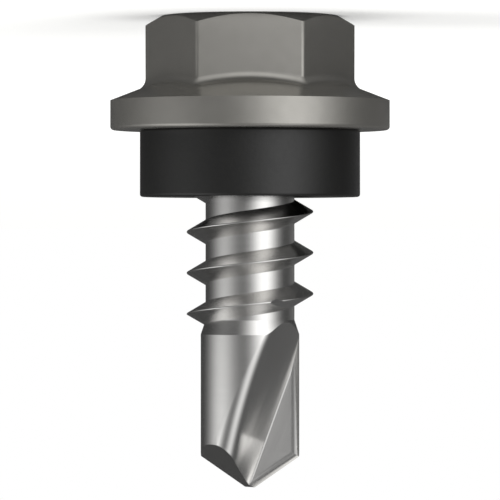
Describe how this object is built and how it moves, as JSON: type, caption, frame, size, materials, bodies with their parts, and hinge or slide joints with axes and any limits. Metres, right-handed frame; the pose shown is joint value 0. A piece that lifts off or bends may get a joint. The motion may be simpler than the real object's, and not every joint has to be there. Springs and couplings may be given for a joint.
{
  "type": "self drilling screw",
  "caption": "Self drilling hexagon flange screw with coarse right-hand thread, fluted drill point and a rubber sealing washer under the flange.",
  "frame": {"origin": "centre of the flat top of the head, on the screw's axis; the screw stands on that face", "axes": "+Z along the screw's axis from the head to the drill point, +X through two corners of the hexagon, +Y square to two of its flats"},
  "size_m": [0.0122, 0.0122, 0.0206],
  "materials": {
    "zinc_plated_steel": "bright zinc plating on the shank and point, warm dark grey satin paint on the head and flange",
    "seal_rubber": "matt black moulded rubber"
  },
  "bodies": {
    "root": {"screw": "zinc_plated_steel", "seal_washer": "seal_rubber"}
  },
  "joints": []
}
